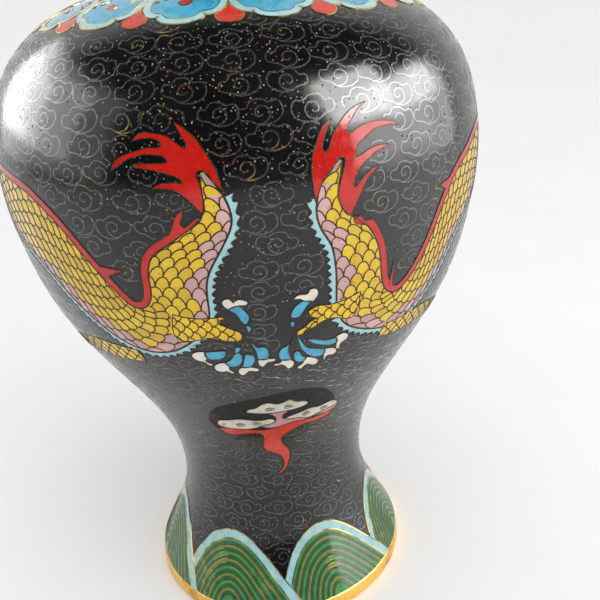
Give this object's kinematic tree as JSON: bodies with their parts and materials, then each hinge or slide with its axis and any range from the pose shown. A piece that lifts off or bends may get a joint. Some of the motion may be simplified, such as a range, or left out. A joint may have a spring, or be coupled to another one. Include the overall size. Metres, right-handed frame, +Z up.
{
  "type": "cloisonne vase",
  "caption": "Baluster vase with a flared foot, wide shoulder and short trumpet neck: copper body, black cloisonne enamel with two dragons, gilt rims.",
  "frame": {"origin": "centre of the foot rim's underside, on the surface the vase stands on", "axes": "+Z up along the vase's axis, -Y towards the dragons' tails (the pictured side)"},
  "size_m": [0.136, 0.136, 0.23],
  "materials": {
    "copper": "hammered, hidden between enamels",
    "gilt_brass": "satin gilt, rubbed",
    "counter_enamel": "glossy vitreous enamel",
    "black_enamel": "polished black enamel with pits",
    "maroon_enamel": "polished enamel",
    "turquoise_enamel": "polished enamel",
    "pale_blue_enamel": "polished enamel",
    "green_enamel": "polished enamel",
    "yellow_enamel": "polished enamel",
    "red_enamel": "polished enamel",
    "lilac_enamel": "polished enamel",
    "white_enamel": "polished enamel"
  },
  "bodies": {
    "root": {"base_enamel": "counter_enamel", "base_plate": "copper", "collar_band": "maroon_enamel", "collar_border": "pale_blue_enamel", "collar_heads": "turquoise_enamel", "copper_belly": "copper", "copper_foot": "copper", "copper_neck": "copper", "copper_shoulder": "copper", "dragon_left_belly_fringe": "pale_blue_enamel", "dragon_left_body": "yellow_enamel", "dragon_left_front_leg": "yellow_enamel", "dragon_left_head": "yellow_enamel", "dragon_left_hind_leg": "yellow_enamel", "dragon_left_horn": "pale_blue_enamel", "dragon_left_mane": "red_enamel", "dragon_left_ridge": "red_enamel", "dragon_left_tail_flame": "red_enamel", "dragon_left_tail_fringe": "pale_blue_enamel", "dragon_right_belly_fringe": "pale_blue_enamel", "dragon_right_body": "yellow_enamel", "dragon_right_front_leg": "yellow_enamel", "dragon_right_head": "yellow_enamel", "dragon_right_hind_leg": "yellow_enamel", "dragon_right_horn": "pale_blue_enamel", "dragon_right_mane": "red_enamel", "dragon_right_ridge": "red_enamel", "dragon_right_tail_flame": "red_enamel", "dragon_right_tail_fringe": "pale_blue_enamel", "foot_rim": "gilt_brass", "ground_enamel_body": "black_enamel", "ground_enamel_neck": "black_enamel", "interior_enamel": "counter_enamel", "mouth_rim": "gilt_brass", "neck_lappets": "turquoise_enamel", "pearl": "white_enamel", "pearl_flame": "red_enamel", "waist_cloud_left": "white_enamel", "waist_cloud_middle": "lilac_enamel", "waist_cloud_right": "white_enamel", "waist_cloud_tail": "red_enamel", "waist_cloud_top": "white_enamel", "wave_border": "pale_blue_enamel", "wave_field_1": "green_enamel", "wave_field_2": "green_enamel", "wave_field_3": "green_enamel", "wave_field_4": "green_enamel", "wave_field_5": "green_enamel", "wave_field_6": "green_enamel", "wave_field_7": "green_enamel"}
  },
  "joints": []
}
